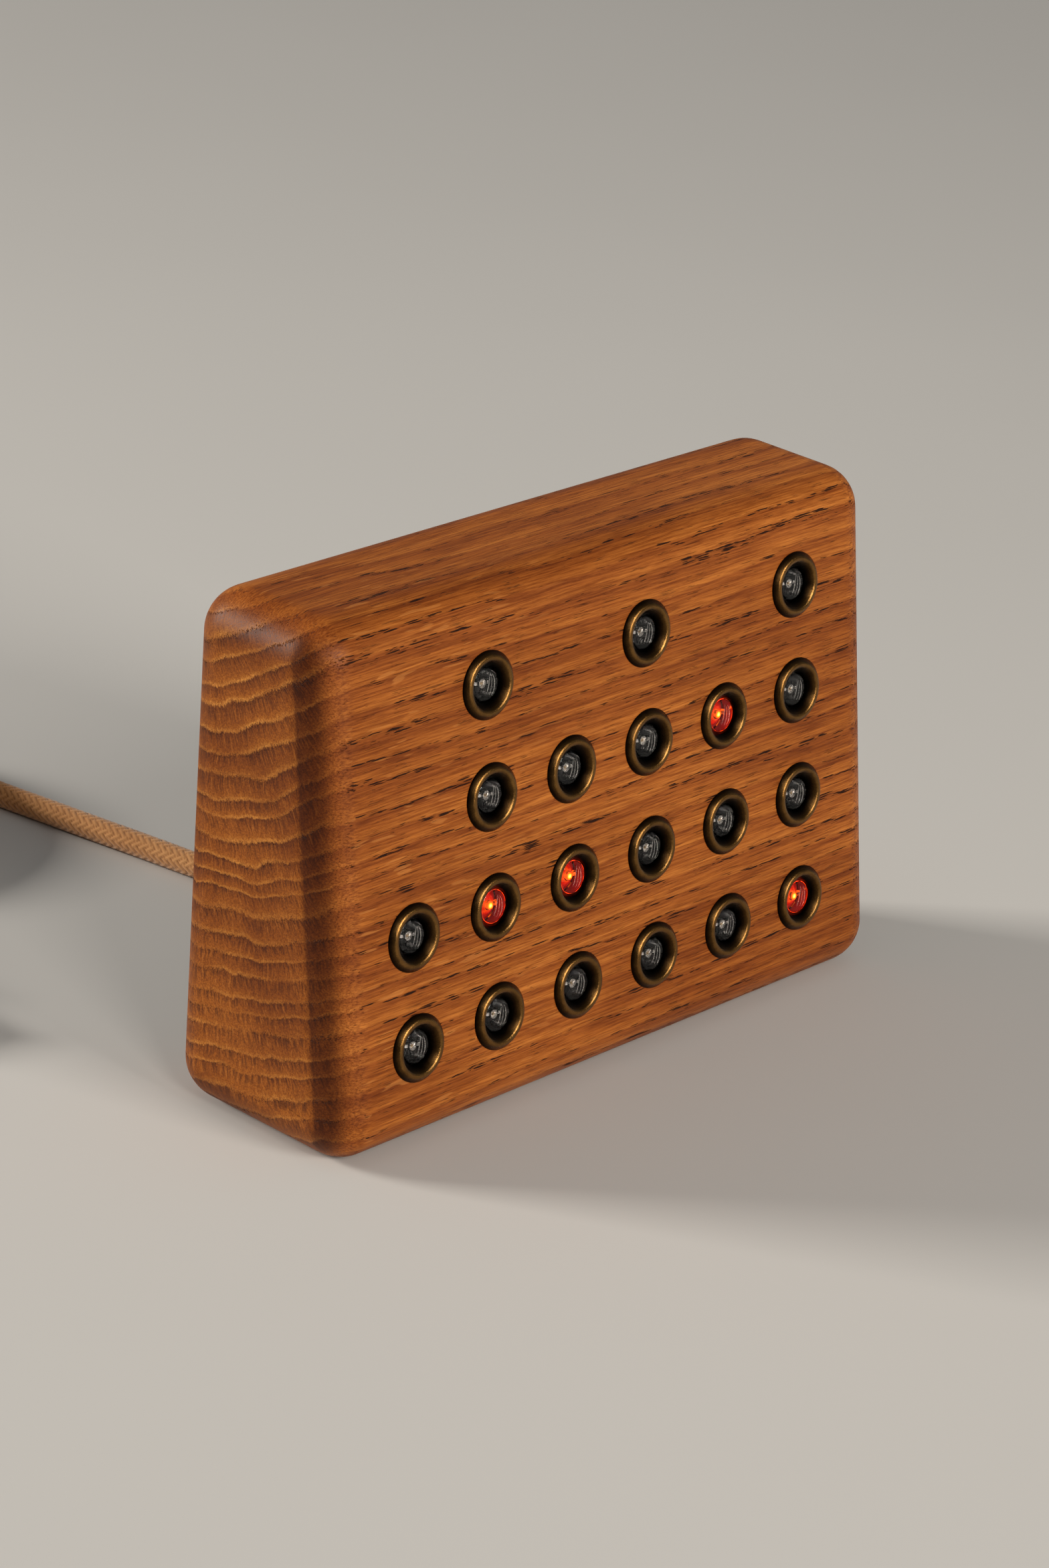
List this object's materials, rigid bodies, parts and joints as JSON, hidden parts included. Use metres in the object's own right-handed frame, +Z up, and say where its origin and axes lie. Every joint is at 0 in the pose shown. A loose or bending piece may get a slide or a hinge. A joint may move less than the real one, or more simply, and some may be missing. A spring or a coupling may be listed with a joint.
{
  "type": "binary clock",
  "caption": "Desk binary clock: oak block with a leaning front, clear diodes in brass eyelets in six columns, and a braided power lead with a plug.",
  "frame": {"origin": "on the surface that the clock stands on, under the middle of the block", "axes": "+X to the right as seen from the front, +Y from the front to the back, +Z up"},
  "size_m": [0.1382, 0.1741, 0.0766],
  "materials": {
    "oak": "oiled oak, satin, with open pores",
    "cover": "matt black sheet",
    "screws": "dark nickel screws",
    "board": "green solder mask",
    "spacers": "natural nylon",
    "eyelet": "antique brass, satin",
    "led_clear": "water-clear epoxy",
    "led_lit": "water-clear epoxy with a lit red chip",
    "tinned": "tinned metal",
    "resistor": "lacquered film resistors",
    "black_plastic": "moulded black plastic",
    "chip": "black moulded chips",
    "capacitor": "shrunk sleeve",
    "wire": "insulated wire",
    "button": "ivory caps",
    "terminal": "green terminal block",
    "braid": "tan woven sleeve",
    "bush": "black rubber",
    "tie": "black woven band",
    "plug": "black moulded grip",
    "plug_metal": "nickel-plated shell",
    "plug_tongue": "white insulator"
  },
  "bodies": {
    "clock": {"body_block": "oak", "back_cover": "cover", "cover_screws": "screws", "led_board": "board", "board_screws": "screws", "board_spacers": "spacers", "eyelets_hours_tens": "eyelet", "eyelets_hours_units": "eyelet", "eyelets_minutes_tens": "eyelet", "eyelets_minutes_units": "eyelet", "eyelets_seconds_tens": "eyelet", "eyelets_seconds_units": "eyelet", "led_hours_tens_1": "led_clear", "led_hours_tens_2": "led_clear", "led_hours_units_1": "led_clear", "led_hours_units_2": "led_lit", "led_hours_units_4": "led_clear", "led_hours_units_8": "led_clear", "led_minutes_tens_1": "led_clear", "led_minutes_tens_2": "led_lit", "led_minutes_tens_4": "led_clear", "led_minutes_units_1": "led_clear", "led_minutes_units_2": "led_clear", "led_minutes_units_4": "led_clear", "led_minutes_units_8": "led_clear", "led_seconds_tens_1": "led_clear", "led_seconds_tens_2": "led_clear", "led_seconds_tens_4": "led_lit", "led_seconds_units_1": "led_lit", "led_seconds_units_2": "led_clear", "led_seconds_units_4": "led_clear", "led_seconds_units_8": "led_clear", "led_leads": "tinned", "resistors": "resistor", "ic_socket": "black_plastic", "microcontroller": "chip", "clock_chip": "chip", "crystals": "tinned", "capacitors": "capacitor", "coin_cell_holder": "black_plastic", "coin_cell": "tinned", "button_board": "board", "button_board_screws": "screws", "button_switches": "black_plastic", "button_wires": "wire", "power_terminal": "terminal", "terminal_screws": "screws", "power_wires": "wire", "cord_inner": "braid", "cord_lock": "black_plastic", "cord_bush": "bush", "cord_free": "braid", "cord_coil": "braid", "cord_tie": "tie", "usb_plug_body": "plug", "usb_plug_shell": "plug_metal", "usb_plug_tongue": "plug_tongue"},
    "hour_button": {"hour_button": "button"},
    "minute_button": {"minute_button": "button"}
  },
  "joints": [
    {"name": "hour_button_press", "type": "slide", "parent": "clock", "child": "hour_button", "axis": [0, -1, 0], "range_m": [0, 0.0005], "stiffness_N_per_m": 300, "springref_m": -0.002},
    {"name": "minute_button_press", "type": "slide", "parent": "clock", "child": "minute_button", "axis": [0, -1, 0], "range_m": [0, 0.0005], "stiffness_N_per_m": 300, "springref_m": -0.002}
  ]
}
